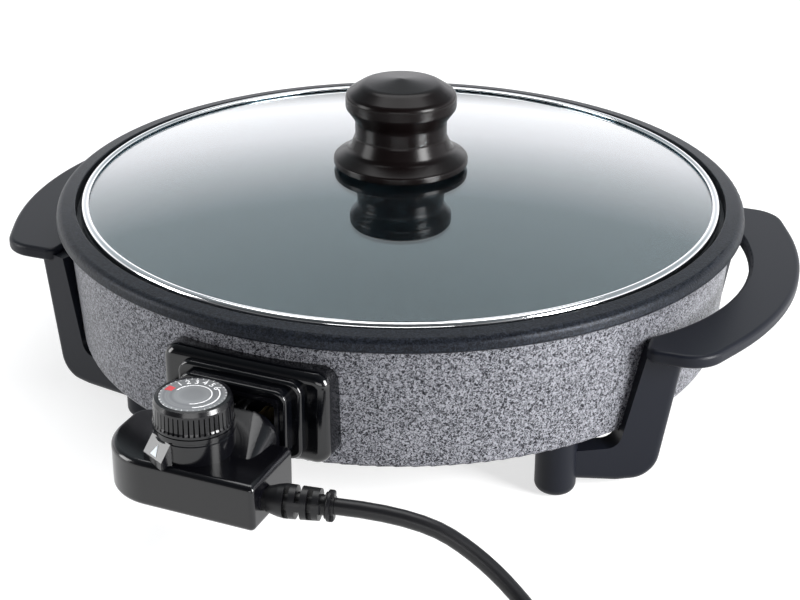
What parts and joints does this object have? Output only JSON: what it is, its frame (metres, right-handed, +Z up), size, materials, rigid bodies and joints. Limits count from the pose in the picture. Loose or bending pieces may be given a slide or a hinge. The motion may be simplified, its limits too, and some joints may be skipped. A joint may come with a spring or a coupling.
{
  "type": "electric skillet",
  "caption": "Round electric skillet with a lift-off domed glass lid, side handles that are also its feet, and a plug-in heat control with a dial and a mains cord",
  "frame": {"origin": "on the pan's vertical axis, at the table that the four foot posts stand on", "axes": "+Z up; -Y is the front, where the heat control plugs in; the handles are at the left (-X) and right (+X)"},
  "size_m": [0.5036, 0.6472, 0.1722],
  "materials": {
    "hammertone": "satin",
    "heater_metal": "satin",
    "bright_steel": "polished",
    "screw_steel": "satin",
    "grip_plastic": "matte",
    "socket_plastic": "gloss",
    "knob_plastic": "satin",
    "control_plastic": "gloss",
    "dial_face": "satin",
    "pointer_clear": "gloss",
    "lamp_glass": "gloss",
    "lid_glass": "gloss",
    "brass": "satin",
    "silicone": "matte",
    "cord_pvc": "matte",
    "ceramic_seal": "matte"
  },
  "bodies": {
    "base": {"pan": "hammertone", "heating_element": "heater_metal", "element_end_seals": "ceramic_seal", "terminal_pins": "screw_steel", "socket_housing": "socket_plastic", "socket_screws": "screw_steel", "handle_right": "grip_plastic", "handle_left": "grip_plastic", "handle_screws": "screw_steel"},
    "lid": {"lid_glass": "lid_glass", "lid_rim": "bright_steel", "lid_knob": "knob_plastic", "knob_insert": "brass", "knob_seal": "silicone", "lid_washer": "screw_steel", "lid_screw": "screw_steel"},
    "thermostat": {"thermostat_upper_shell": "control_plastic", "thermostat_lower_shell": "control_plastic", "shell_screws": "screw_steel", "contact_sleeves": "brass", "thermostat_probe": "bright_steel", "earth_springs": "brass", "switch_block": "ceramic_seal", "pointer_lens": "pointer_clear", "pilot_lamp": "lamp_glass", "strain_relief": "cord_pvc", "cord": "cord_pvc", "cord_coil": "cord_pvc", "mains_plug": "cord_pvc", "plug_pins": "screw_steel", "plug_earth_clips": "screw_steel"},
    "dial": {"dial_knob": "control_plastic", "dial_plate": "dial_face", "dial_shaft": "screw_steel"}
  },
  "joints": [
    {"name": "lid_lift", "type": "slide", "parent": "base", "child": "lid", "axis": [0, 0, 1], "range_m": [0, 0.12]},
    {"name": "control_pull", "type": "slide", "parent": "base", "child": "thermostat", "axis": [0, -1, 0], "range_m": [0, 0.09]},
    {"name": "dial_turn", "type": "hinge", "parent": "thermostat", "child": "dial", "pos_m": [-0.0076, -0.2294, 0.08], "axis": [0, 0, 1], "range_deg": [0, 270]}
  ]
}
